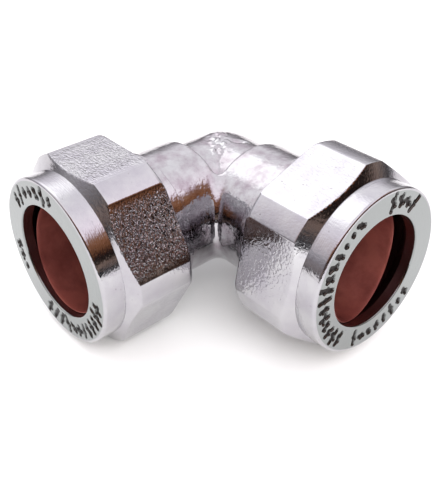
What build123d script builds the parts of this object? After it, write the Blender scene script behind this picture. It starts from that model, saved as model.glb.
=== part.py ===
from build123d import *
import os
from math import radians, tan

# Right-angle compression elbow for 15 mm tube: one plated brass body, and on each of its two
# arms a compression nut and a copper olive. Millimetres throughout.
#
# Everything is drawn first about the point where the two tube axes cross. "Station" means the
# distance from that point, outwards along an arm. The right arm points along +X and the left arm
# along -Y. The finished pieces are then shifted so that the origin is the centre of the
# assembly's footprint, at the height of its lowest point.

# Tube and socket
TUBE_R = 7.5
SOCKET_R = TUBE_R + 0.05
STOP_STATION = 11.4
WATERWAY_R = 6.3

# Elbow body, outside
KNUCKLE_R = 7.9
BARREL_R = 8.9
SHOULDER_STATION = 6.3
SHOULDER_ROUND = 0.3
RING_R = 9.5
RING_STATION = 13.3
THREAD_STATION = 15.0
MOUTH_STATION = 19.6
MOUTH_CONE_ANGLE = 35.0
MOUTH_CONE_STATION = 17.8

# Screw thread, right-handed, on the body (male) and in the nut (female)
PITCH = 1.814
MALE_ROOT_R = 9.30
MALE_CREST_R = 10.40
FEMALE_CREST_R = 9.45
FEMALE_ROOT_R = 10.62
FLANK_ANGLE = 27.5
CREST_WIDTH = 0.30
RIDGE_OVERLAP = 0.08
MALE_THREAD_PHASE = 0.35
LEAD_IN_LENGTH = 1.9

# Compression nut
NUT_FRONT = 28.45
NUT_LENGTH = 12.1
ACROSS_FLATS = 24.0
CORNER_LAND_R = 13.05
COLLAR_R = 11.3
COLLAR_LENGTH = 3.0
LAND_START = 4.1
BACK_CHAMFER = 0.35
FRONT_EDGE_ROUND = 0.35
NUT_BORE_R = 7.7
NUT_BORE_LENGTH = 1.5
NUT_BORE_CHAMFER = 0.18
NUT_CHAMBER_R = 9.6
NUT_THREAD_END = 4.9
NUT_THREAD_RELIEF = 0.6
NUT_COUNTERBORE = 0.5

# Olive
OLIVE_LENGTH = 6.4
OLIVE_END_R = 7.9
OLIVE_MIDDLE_R = 8.5
OLIVE_BAND = 2.0
OLIVE_FRONT_GAP = 1.85
OLIVE_EDGE_ROUND = 0.12

# How far each nut stands turned, from a flat on top. Unscrewing is positive.
LEFT_NUT_TURN = 0.0
RIGHT_NUT_TURN = 19.15

# An arm's own frame: local Z runs outwards along the arm and local Y is up.
RIGHT_ARM = Plane(origin=(0, 0, 0), x_dir=(0, 1, 0), z_dir=(1, 0, 0))
LEFT_ARM = Plane(origin=(0, 0, 0), x_dir=(1, 0, 0), z_dir=(0, -1, 0))


def turned(points):
    """Solid of revolution about local Z, from (radius, station) corners."""
    outline = make_face(Polyline(*[(radius, 0, station) for radius, station in points], close=True))
    return revolve(outline, axis=Axis.Z)


def rod(radius, start, end):
    """Cylinder about local Z between two stations."""
    return Pos(0, 0, start) * Cylinder(radius, end - start, align=(Align.CENTER, Align.CENTER, Align.MIN))


def screw_ridge(base_r, crest_r, start, end, phase):
    """Helical ridge standing on base_r with its crest at crest_r, cut square at both stations.

    phase is the fraction of a pitch by which the ridge's middle is moved outwards.
    """
    outwards = 1 if crest_r > base_r else -1
    foot_r = base_r - outwards * RIDGE_OVERLAP
    half_crest = CREST_WIDTH / 2
    half_foot = half_crest + abs(crest_r - foot_r) * tan(radians(FLANK_ANGLE))
    first = start - start % PITCH + (phase - 1.5) * PITCH
    section = make_face(Polyline(
        (foot_r, 0, first - half_foot),
        (crest_r, 0, first - half_crest),
        (crest_r, 0, first + half_crest),
        (foot_r, 0, first + half_foot),
        close=True,
    ))
    run = end - first + 1.5 * PITCH
    path = Pos(0, 0, first) * Helix(pitch=PITCH, height=run, radius=foot_r)
    ridge = sweep(section, path=path, is_frenet=True)
    reach = max(foot_r, crest_r) + 1
    return ridge & rod(reach, start, end)


def compression_nut():
    """Nut in the arm frame with a flat on top: collar, hexagon, thread and olive seat."""
    back = NUT_FRONT - NUT_LENGTH
    land_front = NUT_FRONT - LAND_START
    blank = turned([
        (0, back),
        (CORNER_LAND_R - BACK_CHAMFER, back),
        (CORNER_LAND_R, back + BACK_CHAMFER),
        (CORNER_LAND_R, land_front),
        (COLLAR_R, NUT_FRONT - COLLAR_LENGTH),
        (COLLAR_R, NUT_FRONT - FRONT_EDGE_ROUND),
        (COLLAR_R - FRONT_EDGE_ROUND, NUT_FRONT),
        (0, NUT_FRONT),
    ])
    hexagon = extrude(RegularPolygon(ACROSS_FLATS / 2, 6, major_radius=False), NUT_LENGTH)
    blank = blank & (Pos(0, 0, back) * hexagon)
    bore_end = NUT_FRONT - NUT_BORE_LENGTH
    thread_end = NUT_FRONT - NUT_THREAD_END
    hollow = turned([
        (0, back - 1),
        (FEMALE_ROOT_R, back - 1),
        (FEMALE_ROOT_R, thread_end),
        (NUT_CHAMBER_R, thread_end),
        (NUT_CHAMBER_R, bore_end - (NUT_CHAMBER_R - NUT_BORE_R)),
        (NUT_BORE_R, bore_end),
        (NUT_BORE_R, NUT_FRONT - NUT_BORE_CHAMFER),
        (NUT_BORE_R + NUT_BORE_CHAMFER, NUT_FRONT),
        (NUT_BORE_R + NUT_BORE_CHAMFER, NUT_FRONT + 1),
        (0, NUT_FRONT + 1),
    ])
    thread = screw_ridge(FEMALE_ROOT_R, FEMALE_CREST_R, back + NUT_COUNTERBORE,
                         thread_end - NUT_THREAD_RELIEF, MALE_THREAD_PHASE + 0.5)
    return (blank - hollow) + thread


def olive():
    """Copper ring in the arm frame: straight bore, a middle band and a cone to each end."""
    front = NUT_FRONT - OLIVE_FRONT_GAP
    back = front - OLIVE_LENGTH
    cone = (OLIVE_LENGTH - OLIVE_BAND) / 2
    return turned([
        (SOCKET_R, back),
        (OLIVE_END_R - OLIVE_EDGE_ROUND, back),
        (OLIVE_END_R, back + OLIVE_EDGE_ROUND),
        (OLIVE_MIDDLE_R, back + cone),
        (OLIVE_MIDDLE_R, front - cone),
        (OLIVE_END_R, front - OLIVE_EDGE_ROUND),
        (OLIVE_END_R - OLIVE_EDGE_ROUND, front),
        (SOCKET_R, front),
    ])


def knuckle():
    """The corner between the arms: two round stubs joined round the outside by a quarter ball."""
    half_disc = make_face(
        Line((0, 0, -KNUCKLE_R), (0, 0, KNUCKLE_R))
        + ThreePointArc((0, 0, KNUCKLE_R), (KNUCKLE_R, 0, 0), (0, 0, -KNUCKLE_R))
    )
    corner = Rot(0, 0, 90) * revolve(half_disc, axis=Axis.Z, revolution_arc=90)
    stub = rod(KNUCKLE_R, 0, SHOULDER_STATION + 1)
    return corner + RIGHT_ARM.location * stub + LEFT_ARM.location * stub


def body_arm():
    """One arm's outside in the arm frame: barrel, ring and male thread."""
    barrel = turned([
        (0, SHOULDER_STATION),
        (BARREL_R - SHOULDER_ROUND, SHOULDER_STATION),
        (BARREL_R, SHOULDER_STATION + SHOULDER_ROUND),
        (BARREL_R, RING_STATION),
        (RING_R, RING_STATION),
        (RING_R, THREAD_STATION),
        (MALE_ROOT_R, THREAD_STATION),
        (MALE_ROOT_R, MOUTH_STATION),
        (0, MOUTH_STATION),
    ])
    thread = screw_ridge(MALE_ROOT_R, MALE_CREST_R, THREAD_STATION, MOUTH_STATION, MALE_THREAD_PHASE)
    lead_in = turned([
        (0, 0),
        (MALE_CREST_R + 1, 0),
        (MALE_CREST_R + 1, MOUTH_STATION - LEAD_IN_LENGTH),
        (MALE_ROOT_R - 0.1, MOUTH_STATION),
        (0, MOUTH_STATION),
    ])
    return (barrel + thread) & lead_in


def arm_passage():
    """What is bored out of one arm: cone mouth, tube socket and waterway."""
    mouth_r = SOCKET_R + (MOUTH_STATION + 1 - MOUTH_CONE_STATION) * tan(radians(MOUTH_CONE_ANGLE))
    return turned([
        (0, 0),
        (WATERWAY_R, 0),
        (WATERWAY_R, STOP_STATION),
        (SOCKET_R, STOP_STATION),
        (SOCKET_R, MOUTH_CONE_STATION),
        (mouth_r, MOUTH_STATION + 1),
        (0, MOUTH_STATION + 1),
    ])


def elbow_body():
    """The whole body, drawn about the crossing of the tube axes."""
    outside = knuckle()
    for arm in (RIGHT_ARM, LEFT_ARM):
        outside = outside + arm.location * body_arm()
    for arm in (RIGHT_ARM, LEFT_ARM):
        outside = outside - arm.location * arm_passage()
    return outside - Sphere(WATERWAY_R)


def screwed(shape, turn):
    """A nut-side piece carried along the thread by a turn in degrees."""
    return Pos(0, 0, PITCH * turn / 360) * shape


def assembly():
    """Every piece by node name, about the crossing of the tube axes."""
    nut = compression_nut()
    ring = olive()
    pieces = {"elbow_body": elbow_body()}
    for side, arm, turn in (("left", LEFT_ARM, LEFT_NUT_TURN), ("right", RIGHT_ARM, RIGHT_NUT_TURN)):
        pieces[f"{side}_nut"] = arm.location * screwed(Rot(0, 0, turn) * nut, turn)
        pieces[f"{side}_olive"] = arm.location * screwed(ring, turn)
    return pieces


def footprint_centre(shapes):
    """Centre of the assembly's footprint, at the height of its lowest point."""
    boxes = [shape.bounding_box() for shape in shapes]
    low_x = min(box.min.X for box in boxes)
    high_x = max(box.max.X for box in boxes)
    low_y = min(box.min.Y for box in boxes)
    high_y = max(box.max.Y for box in boxes)
    return Vector((low_x + high_x) / 2, (low_y + high_y) / 2, min(box.min.Z for box in boxes))


os.makedirs("parts", exist_ok=True)
pieces = assembly()
origin = footprint_centre(pieces.values())
print("origin, from the crossing of the tube axes:", origin)
for name, piece in pieces.items():
    export_step(Pos(-origin) * piece, f"parts/{name}.step")
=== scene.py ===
"""Plated compression elbow for 15 mm tube: finished meshes, materials, floor, light and camera."""

import math

import bpy
import numpy as np
from mathutils import Matrix, Vector


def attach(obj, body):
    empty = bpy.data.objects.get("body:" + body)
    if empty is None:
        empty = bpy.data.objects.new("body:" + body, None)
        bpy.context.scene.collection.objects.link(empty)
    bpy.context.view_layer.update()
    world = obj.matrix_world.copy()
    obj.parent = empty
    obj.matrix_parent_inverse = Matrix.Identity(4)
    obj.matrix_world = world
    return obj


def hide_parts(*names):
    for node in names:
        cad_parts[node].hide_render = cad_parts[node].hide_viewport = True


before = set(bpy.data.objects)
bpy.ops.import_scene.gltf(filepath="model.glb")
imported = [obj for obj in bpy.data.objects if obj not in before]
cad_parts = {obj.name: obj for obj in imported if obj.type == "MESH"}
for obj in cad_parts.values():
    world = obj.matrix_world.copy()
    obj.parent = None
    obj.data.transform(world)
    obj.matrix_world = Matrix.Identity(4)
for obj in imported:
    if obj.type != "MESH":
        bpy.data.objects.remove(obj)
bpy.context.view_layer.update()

MM = 0.001

# Where the two tube axes cross, in the row frame
CROSSING = np.array((-7.74825, 7.84956, 13.0184))

# Each arm: the direction of angle 0, the direction of angle 90, and the way out along its axis
ARMS = {
    "left": np.array(((1, 0, 0), (0, 0, 1), (0, -1, 0)), float),
    "right": np.array(((0, 1, 0), (0, 0, 1), (1, 0, 0)), float),
}

# Body, in mm; a station is a distance out along an arm from the crossing
KNUCKLE_R = 7.9
BARREL_R = 8.9
SHOULDER_STATION = 6.3
SHOULDER_ROUND, SHOULDER_FILLET = 0.45, 0.2
BEAD_WIDTH = 1.2
CORE_END = 14.0
RING_START, RING_END, RING_R = 13.3, 15.0, 9.5
MOUTH_STATION = 19.6
MOUTH_CONE_STATION, MOUTH_CONE_ANGLE = 17.8, 35
SOCKET_R = 7.55
STOP_STATION = 11.4
WATERWAY_R = 6.3

# The casting's net: its step, and how far it reaches past the crossing and sideways. It has to
# clear BARREL_R, or the barrels are left open.
NET_STEP, NET_REACH = 0.24, 9.6

# Rough metal left on the knuckle by the casting's gate, the stub and the gouge beside it. Across
# runs from the right arm towards the left arm, and along runs out between the two arms.
GATE_ACROSS, GATE_ALONG = 0.3, 1.8
GATE_HALF_WIDTH, GATE_HALF_LENGTH = 1.2, 2.9
STUB_ACROSS, STUB_ALONG = 1.3, -0.9
STUB_HALF_WIDTH, STUB_HALF_LENGTH = 1.3, 1.2
GOUGE_ACROSS, GOUGE_ALONG = -2.3, 1.1
GOUGE_HALF_WIDTH, GOUGE_HALF_LENGTH = 0.95, 0.3
GATE_HEIGHT, GATE_ROUGHNESS = 0.22, 0.30
STUB_HEIGHT, GOUGE_DEPTH, RIPPLE_HEIGHT = 0.3, 0.5, 0.015

# Thread
PITCH = 1.814
MALE_ROOT_R, MALE_CREST_R = 9.30, 10.40
FEMALE_CREST_R, FEMALE_ROOT_R = 9.45, 10.62
FLANK_ANGLE = 27.5
CREST_WIDTH = 0.30
MALE_MIDDLE, FEMALE_MIDDLE = 0.85, 0.35
LEAD_IN = 1.9

# Nut
NUT_FRONT, NUT_LENGTH = 28.45, 12.1
FLAT_R = 12.0
CORNER_LAND_R = 13.05
LAND_START = 4.1
COLLAR_LENGTH, COLLAR_R = 3.0, 11.3
EDGE_ROUND, BACK_ROUND = 0.35, 0.15
NUT_BORE_R, NUT_BORE_LENGTH, NUT_BORE_CHAMFER = 7.7, 1.5, 0.18
NUT_CHAMBER_R = 9.6
NUT_THREAD_END, NUT_THREAD_RELIEF, NUT_COUNTERBORE = 4.9, 0.6, 0.5
NUT_COLUMNS = 720
NUT_TURN = {"left": 0.0, "right": 19.15}
# How deep the pebbling of each nut's flats is, as a share of the deepest
PEBBLING = {"left": 1.0, "right": 0.22}
# Groups of punched marks on each nut's face: first and last angle in degrees, how many, and a seed
STAMPED_ARCS = {
    "left": [(78, 146, 7, 3), (-114, -8, 12, 5), (186, 216, 3, 8)],
    "right": [(92, 214, 14, 11), (28, 66, 4, 14), (-132, -58, 8, 19)],
}

# Olive
OLIVE_LENGTH, OLIVE_BAND = 6.4, 2.0
OLIVE_BORE_R, OLIVE_END_R, OLIVE_MIDDLE_R = 7.5, 7.62, 8.5
# How far each olive's front rim stands out, and how it is tipped (degrees) across and up
OLIVE_RIM_STATION = {"left": 26.46, "right": 26.73}
OLIVE_TIP = {"left": (0.9, -8.6), "right": (10.9, -0.8)}
# Copper under a thin film of oxide, between bare metal (1) and plain oxide (0)
OXIDISED_METALLIC = 0.65

# Stage: the camera's angles in degrees and place in mm, the sheet's fall towards +X and its height
# below the crossing, and the way to the window
CAMERA_AZIMUTH, CAMERA_ELEVATION, CAMERA_ROLL = 48.9, 34.75, -0.64
CAMERA_LENS = 54.38
CAMERA_PLACE = (62.13, -53.72, 67.52)
FLOOR_SLOPE = 0.0479
FLOOR_AT_CROSSING = -12.27
FLOOR_REACH = 900.0
WINDOW_WAY = (-0.62, 0.07, 0.78)


def at_arm(side, radius, angle, station):
    """Points in the row frame, in metres, from an arm's own radius, angle and station."""
    across, up, out = ARMS[side]
    spots = (
        (radius * np.cos(angle))[..., None] * across
        + (radius * np.sin(angle))[..., None] * up
        + station[..., None] * out
    )
    return (spots + CROSSING) * MM


def skin(name, points, faces, smooth_angle=32):
    """An object with one closed mesh whose faces are turned outwards."""
    points = np.asarray(points, float)
    corners = points[faces[:, :3]]
    volume = np.einsum("ij,ij->i", corners[:, 0], np.cross(corners[:, 1], corners[:, 2])).sum()
    if volume < 0:
        faces = faces[:, ::-1]
    mesh = bpy.data.meshes.new(name)
    mesh.from_pydata(points.tolist(), [], faces.tolist())
    mesh.polygons.foreach_set("use_smooth", np.ones(len(faces), bool))
    mesh.set_sharp_from_angle(angle=math.radians(smooth_angle))
    piece = bpy.data.objects.new(name, mesh)
    bpy.context.scene.collection.objects.link(piece)
    return piece


def claim(piece, body, node=None):
    """Put a finished piece on its body, in place of a CAD node."""
    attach(piece, body)
    if node:
        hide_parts(node)
    return piece


def wrapped_faces(rows, columns):
    """Quads of a grid that closes on itself both ways."""
    row, column = np.meshgrid(np.arange(rows), np.arange(columns), indexing="ij")
    next_row, next_column = (row + 1) % rows, (column + 1) % columns
    return np.stack(
        [
            row * columns + column,
            row * columns + next_column,
            next_row * columns + next_column,
            next_row * columns + column,
        ],
        axis=-1,
    ).reshape(-1, 4)


def store(piece, name, values):
    """Keep a number for each vertex, for the materials to read."""
    attribute = piece.data.attributes.new(name, "FLOAT", "POINT")
    attribute.data.foreach_set("value", np.asarray(values, np.float32).ravel())


def soft_min(first, second, width):
    """The smaller of two lengths, blended over a width where they meet."""
    near = np.clip(width - np.abs(first - second), 0, None) / width
    return np.minimum(first, second) - near**2 * width / 4


def smooth_step(low, high, value):
    """A smooth rise from 0 at low to 1 at high, level beyond them."""
    share = np.clip((value - low) / (high - low), 0, 1)
    return share * share * (3 - 2 * share)


def arc_rings(centre_station, centre_r, size, start, end, count):
    """Stations and radii round a quarter edge, angles in degrees from straight out along the arm."""
    turn = np.radians(np.linspace(start, end, count))
    return centre_station + size * np.cos(turn), centre_r + size * np.sin(turn)


def ridge_height(station, angle, middle, depth):
    """Height of a helical ridge over its base, at a station and an angle."""
    slope = math.tan(math.radians(FLANK_ANGLE))
    half_base = CREST_WIDTH / 2 + depth * slope
    lead = station / PITCH - angle / (2 * math.pi) - middle
    away = np.abs((lead + 0.5) % 1 - 0.5) * PITCH
    return np.clip((half_base - away) / slope, 0, depth)


def hexagon_r(angle):
    """Distance from the axis to a hexagon with a flat on top."""
    sector = math.pi / 3
    across = (angle - math.pi / 2 + sector / 2) % sector - sector / 2
    return FLAT_R / np.cos(across)


def nut_outline():
    """The nut's rings from its back, over the outside and front, and back through its bore."""
    back = NUT_FRONT - NUT_LENGTH
    collar_root = NUT_FRONT - COLLAR_LENGTH
    thread_end = NUT_FRONT - NUT_THREAD_END
    bore_end = NUT_FRONT - NUT_BORE_LENGTH
    cone = NUT_CHAMBER_R - NUT_BORE_R
    hexagon = np.concatenate(
        [
            back + BACK_ROUND * (1 - np.cos(np.linspace(0, math.pi / 2, 5))),
            np.linspace(back + 0.25, NUT_FRONT - LAND_START - 1.6, 24),
            np.linspace(NUT_FRONT - LAND_START - 1.5, collar_root, 32),
        ]
    )
    land_r = np.interp(
        hexagon,
        (back, back + EDGE_ROUND, NUT_FRONT - LAND_START, collar_root),
        (CORNER_LAND_R - EDGE_ROUND, CORNER_LAND_R, CORNER_LAND_R, COLLAR_R),
    )
    edge_station, edge_r = arc_rings(NUT_FRONT - EDGE_ROUND, COLLAR_R - EDGE_ROUND, EDGE_ROUND, 90, 0, 7)
    lip_station, lip_r = arc_rings(
        NUT_FRONT - NUT_BORE_CHAMFER, NUT_BORE_R + NUT_BORE_CHAMFER, NUT_BORE_CHAMFER, 0, -90, 5
    )
    sections = [
        ("hexagon", hexagon, land_r),
        ("collar", np.linspace(collar_root + 0.12, NUT_FRONT - EDGE_ROUND - 0.1, 10), COLLAR_R),
        ("collar", edge_station, edge_r),
        ("face", NUT_FRONT, np.linspace(COLLAR_R - EDGE_ROUND - 0.06, NUT_BORE_R + 0.25, 34)),
        ("face", lip_station, lip_r),
        ("bore", np.linspace(NUT_FRONT - 0.3, bore_end, 8), NUT_BORE_R),
        ("bore", bore_end - np.linspace(0.1, 1, 4) * cone, NUT_BORE_R + np.linspace(0.1, 1, 4) * cone),
        ("bore", np.array((thread_end + 0.8, thread_end)), NUT_CHAMBER_R),
        ("thread", np.arange(thread_end - 0.02, back, -0.11), FEMALE_ROOT_R),
        ("back", back, np.linspace(FEMALE_ROOT_R, FLAT_R - 0.3, 5)),
    ]
    kinds, stations, radii = [], [], []
    for kind, station, radius in sections:
        station, radius = np.broadcast_arrays(np.atleast_1d(station), np.atleast_1d(radius))
        kinds += [kind] * len(station)
        stations.append(station)
        radii.append(radius)
    return np.array(kinds), np.concatenate(stations).astype(float), np.concatenate(radii).astype(float)


def nut_piece(side, punch, material):
    """One nut: rounded hexagon, collar, face, bore and female thread, in one closed skin."""
    kinds, stations, radii = nut_outline()
    angle = np.linspace(0, 2 * math.pi, NUT_COLUMNS, endpoint=False)
    kind, turn = np.broadcast_arrays(kinds[:, None], angle[None, :])
    station = np.repeat(stations[:, None], NUT_COLUMNS, axis=1)
    radius = np.repeat(radii[:, None], NUT_COLUMNS, axis=1)
    back = NUT_FRONT - NUT_LENGTH

    hexagon = kind == "hexagon"
    flat_r = hexagon_r(turn)
    edge = np.clip(BACK_ROUND - (station - back), 0, BACK_ROUND)
    eased = BACK_ROUND - np.sqrt(BACK_ROUND**2 - edge**2)
    radius[hexagon] = (soft_min(flat_r, radius, 0.02) - eased)[hexagon]

    thread = kind == "thread"
    ridges = ridge_height(station, turn, FEMALE_MIDDLE, FEMALE_ROOT_R - FEMALE_CREST_R)
    start = back + NUT_COUNTERBORE
    end = NUT_FRONT - NUT_THREAD_END - NUT_THREAD_RELIEF
    run = smooth_step(start, start + 0.35, station) * (1 - smooth_step(end - 0.35, end, station))
    radius[thread] -= (ridges * run)[thread]

    clear_of_corner = smooth_step(0.05, 0.5, CORNER_LAND_R - flat_r)
    clear_of_land = smooth_step(0.02, 0.15, radii[:, None] - flat_r)
    flatness = clear_of_corner * clear_of_land
    points = np.stack([radius * np.cos(turn), radius * np.sin(turn), station], axis=-1).reshape(-1, 3)
    piece = skin(f"{side}_nut_skin", points, wrapped_faces(*station.shape))
    store(piece, "flatness", np.where(hexagon, flatness * PEBBLING[side], 0))
    # Bore and thread, which the material darkens as painted shade
    store(piece, "inside", np.isin(kind, ("bore", "thread")))
    store(piece, "facing", kind == "face")
    store(piece, "turned", np.isin(kind, ("collar", "face", "bore")))
    store(piece, "recess", np.zeros(station.shape))
    store(piece, "radius_mm", radius)
    store(piece, "station_mm", station)
    for first, last, count, seed in STAMPED_ARCS[side]:
        stamp(piece, punch, material, first, last, count, seed)
    place_on_arm(piece, side, NUT_TURN[side])
    return claim(piece, f"{side}_cap", f"{side}_nut")


def place_on_arm(piece, side, turn):
    """Carry a piece drawn in mm about local Z onto its arm, screwed out by a turn in degrees."""
    across, up, out = ARMS[side]
    axes = Matrix(np.stack([across, up, out], axis=1).tolist()).to_4x4()
    screwed = Matrix.Translation((0, 0, PITCH * turn / 360)) @ Matrix.Rotation(math.radians(turn), 4, "Z")
    piece.data.transform(Matrix.Scale(MM, 4) @ Matrix.Translation(CROSSING.tolist()) @ axes @ screwed)


def stamp(piece, punch, material, first, last, count, seed):
    """Press one group of marks into a nut's face and keep the result as a plain mesh."""
    modifier = piece.modifiers.new("stamped_marks", "NODES")
    modifier.node_group = punch
    values = {
        "First Angle": math.radians(first),
        "Last Angle": math.radians(last),
        "Count": count,
        "Seed": seed,
        "Material": material,
    }
    for item in punch.interface.items_tree:
        if item.item_type == "SOCKET" and item.in_out == "INPUT" and item.name in values:
            modifier[item.identifier] = values[item.name]
    shaped = bpy.data.meshes.new_from_object(piece.evaluated_get(bpy.context.evaluated_depsgraph_get()))
    piece.modifiers.remove(modifier)
    piece.data = shaped


def stamped_marks_tree():
    """Geometry nodes that sink a row of bars and dots, of random length and lean, into a nut's face."""
    tree = bpy.data.node_groups.new("stamped_marks", "GeometryNodeTree")
    sockets = [
        ("Geometry", "NodeSocketGeometry", None),
        ("First Angle", "NodeSocketFloat", 0.0),
        ("Last Angle", "NodeSocketFloat", 1.0),
        ("Count", "NodeSocketInt", 8),
        ("Seed", "NodeSocketInt", 0),
        ("Ring Radius", "NodeSocketFloat", 9.55),
        ("Bar Length", "NodeSocketFloat", 1.9),
        ("Stroke Width", "NodeSocketFloat", 0.78),
        ("Depth", "NodeSocketFloat", 0.25),
        ("Face Station", "NodeSocketFloat", NUT_FRONT),
        ("Material", "NodeSocketMaterial", None),
    ]
    for label, kind, value in sockets:
        socket = tree.interface.new_socket(label, in_out="INPUT", socket_type=kind)
        if value is not None:
            socket.default_value = value
    tree.interface.new_socket("Geometry", in_out="OUTPUT", socket_type="NodeSocketGeometry")
    given = tree.nodes.new("NodeGroupInput").outputs
    out = tree.nodes.new("NodeGroupOutput")

    index = tree.nodes.new("GeometryNodeInputIndex").outputs["Index"]
    share = maths(tree, "DIVIDE", maths(tree, "ADD", index, 0.5), given["Count"])
    span = maths(tree, "SUBTRACT", given["Last Angle"], given["First Angle"])
    angle = maths(tree, "MULTIPLY_ADD", span, share, given["First Angle"])
    reach = maths(tree, "ADD", given["Ring Radius"], random_number(tree, -0.12, 0.12, given["Seed"], 1))
    spot = add(
        tree,
        "ShaderNodeCombineXYZ",
        {
            "X": maths(tree, "MULTIPLY", reach, maths(tree, "COSINE", angle)),
            "Y": maths(tree, "MULTIPLY", reach, maths(tree, "SINE", angle)),
            "Z": given["Face Station"],
        },
    ).outputs[0]
    points = add(tree, "GeometryNodePoints", {"Count": given["Count"], "Position": spot}).outputs[0]
    bar = add(
        tree,
        "GeometryNodeMeshLine",
        {"Count": 2, "Start Location": (-0.5, 0, 0), "Offset": (1, 0, 0)},
        mode="OFFSET",
    ).outputs["Mesh"]
    strokes = tree.nodes.new("GeometryNodeJoinGeometry")
    for stream, (least_lean, most_lean, longest) in enumerate(((-0.45, 0.25, 1.0), (0.6, 1.5, 0.6))):
        lean = maths(
            tree, "ADD", angle, random_number(tree, least_lean, most_lean, given["Seed"], 2 * stream + 2)
        )
        turn = add(tree, "ShaderNodeCombineXYZ", {"Z": lean}).outputs[0]
        part = random_number(tree, 0.15 * longest, 1.25 * longest, given["Seed"], 2 * stream + 3)
        size = maths(tree, "MULTIPLY", given["Bar Length"], part)
        stretch = add(tree, "ShaderNodeCombineXYZ", {"X": size, "Y": 1.0, "Z": 1.0}).outputs[0]
        stroke = add(
            tree,
            "GeometryNodeInstanceOnPoints",
            {"Points": points, "Instance": bar, "Rotation": turn, "Scale": stretch},
        ).outputs[0]
        tree.links.new(stroke, strokes.inputs["Geometry"])
    bars = add(tree, "GeometryNodeRealizeInstances", {"Geometry": strokes.outputs[0]}).outputs[0]
    nearest = add(tree, "GeometryNodeProximity", {0: bars}, target_element="EDGES").outputs["Distance"]
    half = maths(tree, "MULTIPLY", given["Stroke Width"], 0.5)
    pressed = add(
        tree,
        "ShaderNodeMapRange",
        {"Value": nearest, "From Min": half, "From Max": maths(tree, "MULTIPLY", half, 0.55)},
        interpolation_type="SMOOTHSTEP",
    ).outputs["Result"]
    facing = named_number(tree, "facing")
    pressed = maths(tree, "MULTIPLY", pressed, facing)
    sink = add(
        tree,
        "ShaderNodeCombineXYZ",
        {"Z": maths(tree, "MULTIPLY", pressed, maths(tree, "MULTIPLY", given["Depth"], -1.0))},
    ).outputs[0]
    sunk = add(tree, "GeometryNodeSetPosition", {"Geometry": given["Geometry"], "Offset": sink}).outputs[0]
    deepest = maths(tree, "MAXIMUM", named_number(tree, "recess"), pressed)
    marked = add(
        tree,
        "GeometryNodeStoreNamedAttribute",
        {"Geometry": sunk, "Name": "recess", "Value": deepest},
        data_type="FLOAT",
        domain="POINT",
    ).outputs[0]
    whole = add(tree, "GeometryNodeRealizeInstances", {"Geometry": marked}).outputs[0]
    plated = add(
        tree, "GeometryNodeSetMaterial", {"Geometry": whole, "Material": given["Material"]}
    ).outputs[0]
    tree.links.new(plated, out.inputs["Geometry"])
    return tree


def random_number(tree, low, high, seed, stream):
    """A random number for each point; stream keeps one use apart from another."""
    node = tree.nodes.new("FunctionNodeRandomValue")
    node.data_type = "FLOAT"
    node.inputs[2].default_value = low
    node.inputs[3].default_value = high
    tree.links.new(maths(tree, "MULTIPLY_ADD", seed, 10.0, float(stream)), node.inputs["Seed"])
    return node.outputs[1]


def named_number(tree, name):
    """A number stored on the mesh, read in geometry nodes."""
    return add(tree, "GeometryNodeInputNamedAttribute", {"Name": name}, data_type="FLOAT").outputs[0]


def olive_mesh(side):
    """A copper olive lying loose in its nut, tipped about the middle of its front rim."""
    cone = (OLIVE_LENGTH - OLIVE_BAND) / 2
    rise = OLIVE_MIDDLE_R - OLIVE_END_R
    outline = [
        (OLIVE_BORE_R + 0.03, 0.0),
        (OLIVE_END_R - 0.02, 0.0),
        (OLIVE_END_R + 0.03, -0.06),
        *[(OLIVE_END_R + rise * t, -cone * t) for t in (0.3, 0.6, 0.95)],
        (OLIVE_MIDDLE_R, -cone - 0.1),
        (OLIVE_MIDDLE_R, -cone - OLIVE_BAND + 0.1),
        *[(OLIVE_MIDDLE_R - rise * t, -cone - OLIVE_BAND - cone * t) for t in (0.05, 0.4, 0.7)],
        (OLIVE_END_R + 0.03, -OLIVE_LENGTH + 0.06),
        (OLIVE_END_R - 0.02, -OLIVE_LENGTH),
        (OLIVE_BORE_R + 0.03, -OLIVE_LENGTH),
        *[(OLIVE_BORE_R, OLIVE_LENGTH * (t - 1)) for t in np.linspace(0.01, 0.99, 12)],
    ]
    profile = np.array(outline)
    columns = 256
    angle = np.linspace(0, 2 * math.pi, columns, endpoint=False)
    radius = np.repeat(profile[:, :1], columns, axis=1)
    depth = np.repeat(profile[:, 1:], columns, axis=1)
    turn = np.repeat(angle[None, :], len(profile), axis=0)
    tip_across, tip_up = OLIVE_TIP[side]
    spots = np.stack([radius * np.cos(turn), radius * np.sin(turn), depth], axis=-1)
    tip = Matrix.Rotation(math.radians(tip_up), 3, "X") @ Matrix.Rotation(math.radians(tip_across), 3, "Y")
    spots = spots @ np.array(tip).T
    centre_station = OLIVE_RIM_STATION[side]
    across, up, out = ARMS[side]
    points = (
        spots[..., :1] * across + spots[..., 1:2] * up + (spots[..., 2:] + centre_station) * out + CROSSING
    ) * MM
    piece = skin(f"{side}_olive_skin", points.reshape(-1, 3), wrapped_faces(*radius.shape))
    return claim(piece, f"{side}_ring", f"{side}_olive")


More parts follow.
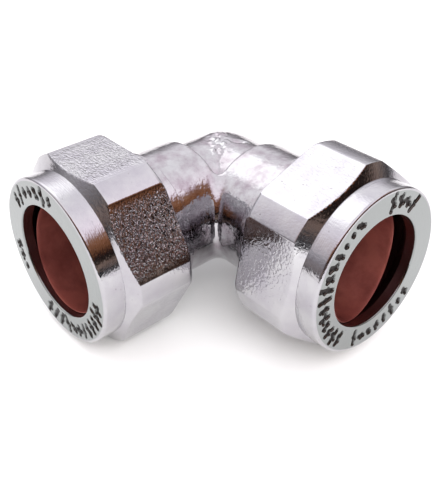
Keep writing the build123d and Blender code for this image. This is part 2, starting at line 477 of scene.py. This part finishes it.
def threaded_end(side):
    """An arm's end: turned ring, male thread root, mouth cone and tube socket."""
    cone_slope = math.tan(math.radians(MOUTH_CONE_ANGLE))
    mouth_r = SOCKET_R + (MOUTH_STATION - MOUTH_CONE_STATION) * cone_slope
    spigot_r = (SOCKET_R + BARREL_R) / 2
    thread_stations = np.arange(RING_END + 0.02, MOUTH_STATION - 0.02, 0.1)
    cone_stations = np.linspace(MOUTH_STATION - 0.5, MOUTH_CONE_STATION, 5)
    sections = [
        (np.array((RING_START, RING_START)), np.array((spigot_r, RING_R - 0.12))),
        (np.array((RING_START + 0.12,)), np.array((RING_R,))),
        (np.linspace(RING_START + 0.3, RING_END - 0.12, 8), np.full(8, RING_R)),
        (np.array((RING_END,)), np.array((RING_R - 0.1,))),
        (thread_stations, np.full(len(thread_stations), MALE_ROOT_R)),
        (np.array((MOUTH_STATION,)), np.array((MALE_ROOT_R - 0.1,))),
        (np.array((MOUTH_STATION, MOUTH_STATION - 0.08)), np.array((mouth_r + 0.06, mouth_r - 0.04))),
        (cone_stations, SOCKET_R + (cone_stations - MOUTH_CONE_STATION) * cone_slope),
        (np.linspace(MOUTH_CONE_STATION - 0.2, CORE_END + 0.1, 8), np.full(8, SOCKET_R)),
        (np.array((CORE_END, CORE_END)), np.array((SOCKET_R + 0.02, spigot_r - 0.1))),
    ]
    stations = np.concatenate([part[0] for part in sections])
    radii = np.concatenate([part[1] for part in sections])
    columns = 480
    angle = np.linspace(0, 2 * math.pi, columns, endpoint=False)
    station = np.repeat(stations[:, None], columns, axis=1)
    radius = np.repeat(radii[:, None], columns, axis=1)
    turn = np.repeat(angle[None, :], len(stations), axis=0)
    on_thread = (radius == MALE_ROOT_R) & (station > RING_END)
    ridge = ridge_height(station, turn, MALE_MIDDLE, MALE_CREST_R - MALE_ROOT_R)
    lead_rise = MALE_CREST_R + 1.1 - MALE_ROOT_R
    lead_cap = MALE_ROOT_R - 0.1 + (MOUTH_STATION - station) / LEAD_IN * lead_rise
    threaded = np.minimum(MALE_ROOT_R + ridge, lead_cap)
    radius[on_thread] = np.maximum(threaded, MALE_ROOT_R - 0.1)[on_thread]
    points = at_arm(side, radius, turn, station).reshape(-1, 3)
    piece = skin(f"{side}_threaded_end", points, wrapped_faces(*station.shape))
    return claim(piece, "elbow")


def casting_distance(a, b, z):
    """Rough distance, in mm, from the casting's surface; a and b run out along the right and left arms."""
    from_a = np.hypot(b, z)
    from_b = np.hypot(a, z)
    from_crossing = np.sqrt(a * a + b * b + z * z)
    from_bend = np.minimum(np.where(a > 0, from_a, from_crossing), np.where(b > 0, from_b, from_crossing))
    barrel_a = -soft_min(BARREL_R - from_a, a - SHOULDER_STATION, SHOULDER_ROUND)
    barrel_b = -soft_min(BARREL_R - from_b, b - SHOULDER_STATION, SHOULDER_ROUND)
    barrels = soft_min(barrel_a, barrel_b, BEAD_WIDTH)
    outside = soft_min(barrels, from_bend - KNUCKLE_R, SHOULDER_FILLET)
    outside = outside - gate_height(a, b, z)
    outside = np.maximum(outside, np.maximum(a, b) - CORE_END)
    socket_a = np.maximum(from_a - SOCKET_R, STOP_STATION - a)
    socket_b = np.maximum(from_b - SOCKET_R, STOP_STATION - b)
    passage = np.minimum(from_bend - WATERWAY_R, np.minimum(socket_a, socket_b))
    return np.maximum(outside, -passage)


def mound(across, along, middle, half_size):
    """A smooth mound, 1 at its middle; middle and half size are each given across and along."""
    sideways = (across - middle[0]) / half_size[0]
    lengthways = (along - middle[1]) / half_size[1]
    return np.exp(-(sideways**2) - lengthways**2)


def gate_height(a, b, z):
    """Extra metal on the knuckle where the casting's gate was knocked off, less a small gouge."""
    along = (a + b) / math.sqrt(2)
    across = (b - a) / math.sqrt(2)
    upper = smooth_step(3.0, 6.0, z)
    patch = mound(across, along, (GATE_ACROSS, GATE_ALONG), (GATE_HALF_WIDTH, GATE_HALF_LENGTH))
    stub = mound(across, along, (STUB_ACROSS, STUB_ALONG), (STUB_HALF_WIDTH, STUB_HALF_LENGTH))
    gouge = mound(across, along, (GOUGE_ACROSS, GOUGE_ALONG), (GOUGE_HALF_WIDTH, GOUGE_HALF_LENGTH))
    rough = (
        np.sin(4.9 * a + 1.3 * np.sin(3.3 * b))
        + np.sin(5.7 * b + 1.1 * np.sin(4.1 * a) + 0.7)
        + 0.6 * np.sin(6.9 * across + 2.0 * along)
    ) / 2.6
    ripple = RIPPLE_HEIGHT * np.sin(1.1 * a + 0.4) * np.sin(1.3 * b + 0.9 * z)
    raised = patch * (GATE_HEIGHT + GATE_ROUGHNESS * rough) + STUB_HEIGHT * stub
    return upper * (raised - GOUGE_DEPTH * gouge) + ripple


def surface_net(distance, low, high, step):
    """A closed quad mesh of the surface where distance is zero, with its points pulled onto it."""
    axes = [np.arange(start, end + step, step) for start, end in zip(low, high)]
    spots = np.stack(np.meshgrid(*axes, indexing="ij"), axis=-1)
    value = distance(spots[..., 0], spots[..., 1], spots[..., 2])
    shape = np.array(value.shape)
    cells = shape - 1
    total = np.zeros((*cells, 3))
    count = np.zeros(cells)
    crossings = []
    for axis in range(3):
        start = [slice(None)] * 3
        end = [slice(None)] * 3
        start[axis], end[axis] = slice(0, -1), slice(1, None)
        first, second = value[tuple(start)], value[tuple(end)]
        edges = np.argwhere((first < 0) != (second < 0))
        low_value = first[tuple(edges.T)]
        high_value = second[tuple(edges.T)]
        share = low_value / (low_value - high_value)
        crossing = spots[tuple(edges.T)].copy()
        crossing[:, axis] += share * step
        others = [k for k in range(3) if k != axis]
        around = []
        for shift_first, shift_second in ((0, 0), (1, 0), (1, 1), (0, 1)):
            cell = edges.copy()
            cell[:, others[0]] -= shift_first
            cell[:, others[1]] -= shift_second
            np.add.at(total, tuple(cell.T), crossing)
            np.add.at(count, tuple(cell.T), 1)
            around.append(cell)
        crossings.append((around, low_value < 0, axis))
    used = count > 0
    number = np.full(cells, -1)
    number[used] = np.arange(used.sum())
    points = total[used] / count[used][:, None]
    faces = []
    for around, leaving, axis in crossings:
        quad = np.stack([number[tuple(cell.T)] for cell in around], axis=1)
        forward = leaving if axis != 1 else ~leaving
        quad[~forward] = quad[~forward][:, ::-1]
        faces.append(quad)
    return pulled_to(distance, points, step), np.concatenate(faces)


def pulled_to(distance, points, step):
    """Points moved along the slope of distance until it is near zero."""
    small = step / 50
    reach = step / 2
    start = points.copy()
    for _ in range(4):
        here = distance(*points.T)
        slope = np.stack(
            [(distance(*(points + small * unit).T) - here) / small for unit in np.eye(3)], axis=1
        )
        length = np.maximum((slope**2).sum(axis=1), 0.2)
        points = points - (here / length)[:, None] * slope
        points = start + np.clip(points - start, -reach, reach)
    return points


def casting():
    """The plated casting: knuckle, two barrels blended by a bead, gate scar and waterway."""
    low = (-NET_REACH, -NET_REACH, -NET_REACH)
    high = (CORE_END + 0.4, CORE_END + 0.4, NET_REACH)
    points, faces = surface_net(casting_distance, low, high, NET_STEP)
    right = ARMS["right"][2]
    left = ARMS["left"][2]
    placed = points[:, :1] * right + points[:, 1:2] * left + points[:, 2:] * np.array((0, 0, 1.0))
    piece = skin("casting", (placed + CROSSING) * MM, faces, smooth_angle=50)
    a, b, z = points.T
    # A mask for painted shade: the material darkens the chrome in the crease round each shoulder
    to_corner = np.minimum(
        np.hypot(a - SHOULDER_STATION, np.hypot(b, z) - KNUCKLE_R),
        np.hypot(b - SHOULDER_STATION, np.hypot(a, z) - KNUCKLE_R),
    )
    store(piece, "painted_crease_shade", 1 - smooth_step(0.1, 0.55, to_corner))
    return claim(piece, "elbow", "elbow_body")


# ---------------------------------------------------------------- node helpers


def add(tree, kind, inputs=None, **settings):
    """A new node with its settings, and its inputs given as values or as sockets to link from."""
    node = tree.nodes.new(kind)
    for name, value in settings.items():
        setattr(node, name, value)
    for name, value in (inputs or {}).items():
        feed(tree, node.inputs[name], value)
    return node


def feed(tree, socket, value):
    """Link a socket from another one, or give it a plain value."""
    if isinstance(value, bpy.types.NodeSocket):
        tree.links.new(value, socket)
    else:
        socket.default_value = value


def new_group(name, inputs, outputs):
    """An empty shader group with named float inputs and outputs."""
    tree = bpy.data.node_groups.new(name, "ShaderNodeTree")
    for label, kind, value in inputs:
        socket = tree.interface.new_socket(label, in_out="INPUT", socket_type=kind)
        socket.default_value = value
    for label, kind in outputs:
        tree.interface.new_socket(label, in_out="OUTPUT", socket_type=kind)
    return tree, tree.nodes.new("NodeGroupInput"), tree.nodes.new("NodeGroupOutput")


def maths(tree, operation, first, second=0.5, third=None):
    """The result of one sum on values or sockets."""
    values = {0: first, 1: second}
    if third is not None:
        values[2] = third
    return add(tree, "ShaderNodeMath", values, operation=operation).outputs[0]


def mapped(tree, value, low, high, to_low=0.0, to_high=1.0):
    """A value carried from one range to another, held at the ends."""
    node = add(
        tree,
        "ShaderNodeMapRange",
        {"Value": value, "From Min": low, "From Max": high, "To Min": to_low, "To Max": to_high},
    )
    return node.outputs["Result"]


def orange_peel_group():
    """Pebbled plating: low swellings with level tops, and a few sharper pits."""
    tree, given, out = new_group(
        "orange_peel",
        [("Vector", "NodeSocketVector", (0, 0, 0)), ("Scale", "NodeSocketFloat", 2000.0)],
        [("Height", "NodeSocketFloat"), ("Pits", "NodeSocketFloat")],
    )
    vector, scale = given.outputs["Vector"], given.outputs["Scale"]
    lumps = add(
        tree,
        "ShaderNodeTexNoise",
        {"Vector": vector, "Scale": scale, "Detail": 2.0, "Roughness": 0.45, "Distortion": 0.3},
    ).outputs["Fac"]
    pits = add(
        tree,
        "ShaderNodeTexVoronoi",
        {"Vector": vector, "Scale": maths(tree, "MULTIPLY", scale, 0.55), "Randomness": 1.0},
    ).outputs["Distance"]
    pitted = mapped(tree, pits, 0.0, 0.22, 1.0, 0.0)
    rare = add(
        tree, "ShaderNodeTexNoise", {"Vector": vector, "Scale": maths(tree, "MULTIPLY", scale, 0.35)}
    ).outputs["Fac"]
    pit_mask = maths(tree, "MULTIPLY", pitted, mapped(tree, rare, 0.56, 0.66))
    plateau = mapped(tree, lumps, 0.22, 0.60)
    height = maths(tree, "SUBTRACT", plateau, maths(tree, "MULTIPLY", pit_mask, 0.6))
    tree.links.new(height, out.inputs["Height"])
    tree.links.new(pit_mask, out.inputs["Pits"])
    return tree


def tarnish_group():
    """Broad clouding of a metal's colour and gloss."""
    tree, given, out = new_group(
        "tarnish",
        [
            ("Vector", "NodeSocketVector", (0, 0, 0)),
            ("Clean", "NodeSocketColor", (0.7, 0.7, 0.7, 1)),
            ("Clouded", "NodeSocketColor", (0.6, 0.6, 0.6, 1)),
            ("Scale", "NodeSocketFloat", 300.0),
        ],
        [("Color", "NodeSocketColor"), ("Mask", "NodeSocketFloat")],
    )
    cloud = add(
        tree,
        "ShaderNodeTexNoise",
        {
            "Vector": given.outputs["Vector"],
            "Scale": given.outputs["Scale"],
            "Detail": 5.0,
            "Roughness": 0.6,
        },
    ).outputs["Fac"]
    mask = mapped(tree, cloud, 0.38, 0.68)
    colour = blend(tree, mask, given.outputs["Clean"], given.outputs["Clouded"])
    tree.links.new(colour, out.inputs["Color"])
    tree.links.new(mask, out.inputs["Mask"])
    return tree


def blend(tree, factor, first, second):
    """A mix of two colours."""
    node = tree.nodes.new("ShaderNodeMix")
    node.data_type = "RGBA"
    for index, value in ((0, factor), (6, first), (7, second)):
        feed(tree, node.inputs[index], value)
    return node.outputs[2]


def metal(name):
    """A material with a metallic shader, its tree, its shader and its object coordinates."""
    material = bpy.data.materials.new(name)
    material.use_nodes = True
    tree = material.node_tree
    shader = tree.nodes["Principled BSDF"]
    shader.inputs["Metallic"].default_value = 1.0
    place = tree.nodes.new("ShaderNodeTexCoord").outputs["Object"]
    return material, tree, shader, place


def placed_group(tree, group, inputs):
    """One use of a shader group."""
    return add(tree, "ShaderNodeGroup", inputs, node_tree=group)


def attribute(tree, name):
    """A number stored on the mesh, read in a material."""
    return add(tree, "ShaderNodeAttribute", attribute_name=name, attribute_type="GEOMETRY").outputs["Fac"]


def nut_chrome(peel, tarnish):
    """Chrome on the nuts: pebbled flats, turned collar, a face painted darker as shade, and painted shade
    in the bore, thread and stamped marks.
    """
    material, tree, shader, place = metal("nut_chrome")
    cloud = placed_group(
        tree,
        tarnish,
        {
            "Vector": place,
            "Clean": (0.47, 0.465, 0.48, 1),
            "Clouded": (0.40, 0.385, 0.42, 1),
            "Scale": 260.0,
        },
    )
    drawn_out = add(
        tree, "ShaderNodeVectorMath", {0: place, 1: (0.75, 1.5, 0.75)}, operation="MULTIPLY"
    ).outputs["Vector"]
    grain = placed_group(tree, peel, {"Vector": drawn_out, "Scale": 2900.0})
    inside = attribute(tree, "inside")
    flatness = attribute(tree, "flatness")
    recess = attribute(tree, "recess")
    radius = attribute(tree, "radius_mm")
    station = attribute(tree, "station_mm")
    lathe = add(
        tree,
        "ShaderNodeTexNoise",
        {"W": maths(tree, "ADD", radius, station), "Scale": 5.0, "Detail": 2.0},
        noise_dimensions="1D",
    ).outputs["Fac"]
    lathe_share = maths(tree, "MULTIPLY", attribute(tree, "turned"), 0.15)
    turned = maths(tree, "MULTIPLY", lathe, lathe_share)
    # Painted shade: the stamped marks, and the bore and thread, are darkened towards near black (red-brown
    # inside the bore) to stand for the shade in these recesses
    shaded_marks = mapped(tree, recess, 0.05, 0.35)
    painted_recess_shade = maths(tree, "MAXIMUM", shaded_marks, maths(tree, "MULTIPLY", inside, 0.93))
    recess_shade_colour = blend(tree, inside, (0.022, 0.018, 0.018, 1), (0.15, 0.055, 0.05, 1))
    # Painted shade: the turned face is given darker chrome, standing in for the dimmer reflection it shows
    face_painted_darker = blend(tree, attribute(tree, "facing"), cloud.outputs["Color"], (0.285, 0.30, 0.297, 1))
    pits = maths(tree, "MULTIPLY", grain.outputs["Pits"], 0.9)
    unshaded = blend(tree, pits, face_painted_darker, (0.12, 0.10, 0.11, 1))
    tree.links.new(blend(tree, painted_recess_shade, unshaded, recess_shade_colour), shader.inputs["Base Color"])
    rough = mapped(tree, cloud.outputs["Mask"], 0.0, 1.0, 0.10, 0.17)
    rough = maths(tree, "ADD", rough, maths(tree, "MULTIPLY", painted_recess_shade, 0.25))
    tree.links.new(rough, shader.inputs["Roughness"])
    peel_share = mapped(tree, flatness, 0.0, 1.0, 0.1, 1.0)
    peel_height = maths(tree, "MULTIPLY", grain.outputs["Height"], peel_share)
    height = maths(tree, "ADD", peel_height, turned)
    bump = add(tree, "ShaderNodeBump", {"Height": height, "Strength": 1.0, "Distance": 0.000075})
    tree.links.new(bump.outputs["Normal"], shader.inputs["Normal"])
    return material


def cast_chrome(peel, tarnish):
    """Chrome over the buffed casting: clouded, finely rippled, and painted dark as shade in the shoulder's
    crease.
    """
    material, tree, shader, place = metal("cast_chrome")
    cloud = placed_group(
        tree,
        tarnish,
        {
            "Vector": place,
            "Clean": (0.47, 0.465, 0.48, 1),
            "Clouded": (0.32, 0.28, 0.31, 1),
            "Scale": 520.0,
        },
    )
    # Painted shade: the chrome is darkened towards near black in the shoulder's crease
    painted_crease_shade = maths(tree, "MULTIPLY", attribute(tree, "painted_crease_shade"), 0.8)
    colour = blend(tree, painted_crease_shade, cloud.outputs["Color"], (0.10, 0.09, 0.10, 1))
    tree.links.new(colour, shader.inputs["Base Color"])
    rough = mapped(tree, cloud.outputs["Mask"], 0.0, 1.0, 0.06, 0.14)
    tree.links.new(rough, shader.inputs["Roughness"])
    grain = placed_group(tree, peel, {"Vector": place, "Scale": 1900.0})
    bump = add(
        tree, "ShaderNodeBump", {"Height": grain.outputs["Height"], "Strength": 0.5, "Distance": 0.00003}
    )
    tree.links.new(bump.outputs["Normal"], shader.inputs["Normal"])
    return material


def copper(peel, tarnish):
    """Red-brown copper, smooth and a little tarnished."""
    material, tree, shader, place = metal("copper")
    cloud = placed_group(
        tree,
        tarnish,
        {
            "Vector": place,
            "Clean": (0.42, 0.125, 0.10, 1),
            "Clouded": (0.20, 0.052, 0.045, 1),
            "Scale": 180.0,
        },
    )
    tree.links.new(cloud.outputs["Color"], shader.inputs["Base Color"])
    rough = mapped(tree, cloud.outputs["Mask"], 0.0, 1.0, 0.36, 0.5)
    tree.links.new(rough, shader.inputs["Roughness"])
    shader.inputs["Metallic"].default_value = OXIDISED_METALLIC
    grain = placed_group(tree, peel, {"Vector": place, "Scale": 900.0})
    bump = add(
        tree, "ShaderNodeBump", {"Height": grain.outputs["Height"], "Strength": 0.15, "Distance": 0.00005}
    )
    tree.links.new(bump.outputs["Normal"], shader.inputs["Normal"])
    return material


# ---------------------------------------------------------------- stage


def make_camera():
    """The camera, turned by its azimuth, elevation and roll."""
    turn, tilt, roll = (math.radians(v) for v in (CAMERA_AZIMUTH, CAMERA_ELEVATION, CAMERA_ROLL))
    back = Vector((math.sin(turn) * math.cos(tilt), -math.cos(turn) * math.cos(tilt), math.sin(tilt)))
    level = Vector((math.cos(turn), math.sin(turn), 0))
    upright = back.cross(level)
    right = math.cos(roll) * level + math.sin(roll) * upright
    up = back.cross(right)
    data = bpy.data.cameras.new("camera")
    data.lens = CAMERA_LENS
    data.clip_start = 0.001
    camera = bpy.data.objects.new("camera", data)
    axes = Matrix((right, up, back)).transposed()
    camera.matrix_world = Matrix.Translation(Vector(CAMERA_PLACE) * MM) @ axes.to_4x4()
    bpy.context.scene.collection.objects.link(camera)
    bpy.context.scene.camera = camera


def make_floor():
    """A pale sheet on the plane that both nuts rest on."""
    corners = []
    for x, y in (
        (-FLOOR_REACH, -FLOOR_REACH),
        (FLOOR_REACH, -FLOOR_REACH),
        (FLOOR_REACH, FLOOR_REACH),
        (-FLOOR_REACH, FLOOR_REACH),
    ):
        height = CROSSING[2] + FLOOR_AT_CROSSING - FLOOR_SLOPE * (x - CROSSING[0])
        corners.append((x * MM, y * MM, height * MM))
    mesh = bpy.data.meshes.new("floor")
    mesh.from_pydata(corners, [], [(0, 1, 2, 3)])
    floor = bpy.data.objects.new("floor", mesh)
    bpy.context.scene.collection.objects.link(floor)
    material = bpy.data.materials.new("pale_sheet")
    material.use_nodes = True
    tree = material.node_tree
    shader = tree.nodes["Principled BSDF"]
    fibre = add(
        tree,
        "ShaderNodeTexNoise",
        {"Vector": tree.nodes.new("ShaderNodeTexCoord").outputs["Object"], "Scale": 60.0},
    )
    tint = blend(tree, fibre.outputs["Fac"], (0.88, 0.90, 0.89, 1), (0.90, 0.92, 0.91, 1))
    tree.links.new(tint, shader.inputs["Base Color"])
    shader.inputs["Roughness"].default_value = 0.7
    mesh.materials.append(material)


def colour_stops(tree, value, stops):
    """A colour read off a row of stops, each a place from 0 to 1 and its colour."""
    ramp = add(tree, "ShaderNodeValToRGB", {"Fac": value})
    elements = ramp.color_ramp.elements
    while len(elements) < len(stops):
        elements.new(0.5)
    for element, (place, colour) in zip(elements, stops):
        element.position = place
        element.color = (*colour, 1)
    return ramp.outputs["Color"]


def make_room_light():
    """The room round the sheet: bright ceiling and window, dark walls right and front, a paler back."""
    world = bpy.data.worlds.new("room")
    bpy.context.scene.world = world
    world.use_nodes = True
    tree = world.node_tree
    background = tree.nodes["Background"]
    way = tree.nodes.new("ShaderNodeTexCoord").outputs["Generated"]
    x, y, z = add(tree, "ShaderNodeSeparateXYZ", {0: way}).outputs
    height = maths(tree, "MAXIMUM", z, 0.0)
    dark_side = colour_stops(
        tree,
        height,
        [
            (0.0, (0.012, 0.012, 0.020)),
            (0.06, (0.10, 0.09, 0.09)),
            (0.16, (0.40, 0.28, 0.23)),
            (0.23, (0.02, 0.015, 0.012)),
            (0.34, (0.012, 0.008, 0.010)),
            (0.41, (0.17, 0.07, 0.035)),
            (0.55, (0.38, 0.16, 0.08)),
            (0.65, (0.46, 0.25, 0.17)),
            (0.69, (1.10, 0.90, 1.00)),
            (0.76, (1.75, 1.60, 1.72)),
            (1.0, (1.5, 1.45, 1.52)),
        ],
    )
    pale_side = colour_stops(
        tree,
        height,
        [
            (0.0, (0.12, 0.11, 0.12)),
            (0.2, (0.55, 0.53, 0.56)),
            (0.42, (1.3, 1.27, 1.33)),
            (0.62, (1.5, 1.47, 1.53)),
            (1.0, (1.35, 1.34, 1.38)),
        ],
    )
    away = maths(tree, "SUBTRACT", maths(tree, "MULTIPLY", y, 0.35), maths(tree, "MULTIPLY", x, 0.94))
    side = mapped(tree, away, -0.25, 0.45)
    walls = blend(tree, side, dark_side, pale_side)
    toward = add(
        tree, "ShaderNodeVectorMath", {0: way, 1: WINDOW_WAY}, operation="DOT_PRODUCT"
    ).outputs["Value"]
    room = blend(tree, mapped(tree, toward, 0.905, 0.965), walls, (2.45, 2.43, 2.47, 1))
    seen = tree.nodes.new("ShaderNodeLightPath").outputs["Is Camera Ray"]
    tree.links.new(blend(tree, seen, room, (0.86, 0.86, 0.88, 1)), background.inputs["Color"])
    background.inputs["Strength"].default_value = 1.0


def soft_box(name, place, aim, size, power):
    """A soft light that faces a point and fills the shadows without showing in the plating."""
    data = bpy.data.lights.new(name, "AREA")
    data.shape = "RECTANGLE"
    data.size, data.size_y = size
    data.energy = power
    light = bpy.data.objects.new(name, data)
    light.location = Vector(place)
    light.rotation_euler = (Vector(place) - Vector(aim)).to_track_quat("Z", "Y").to_euler()
    light.visible_glossy = False
    bpy.context.scene.collection.objects.link(light)


def dress(pieces, material):
    """Give each piece one material."""
    for piece in pieces:
        piece.data.materials.clear()
        piece.data.materials.append(material)


def main():
    """Every piece with its material, then the camera, sheet and light."""
    peel = orange_peel_group()
    tarnish = tarnish_group()
    chrome = nut_chrome(peel, tarnish)
    punch = stamped_marks_tree()
    for side in ARMS:
        nut_piece(side, punch, chrome)
    olives = [olive_mesh(side) for side in ARMS]
    body = [casting(), *[threaded_end(side) for side in ARMS]]
    dress(body, cast_chrome(peel, tarnish))
    dress(olives, copper(peel, tarnish))
    make_camera()
    make_floor()
    make_room_light()
    soft_box("front_fill", (0.42, -0.20, 0.34), (0, 0, 0), (0.6, 0.6), 4.3)
    bpy.context.scene.view_settings.view_transform = "Standard"


main()
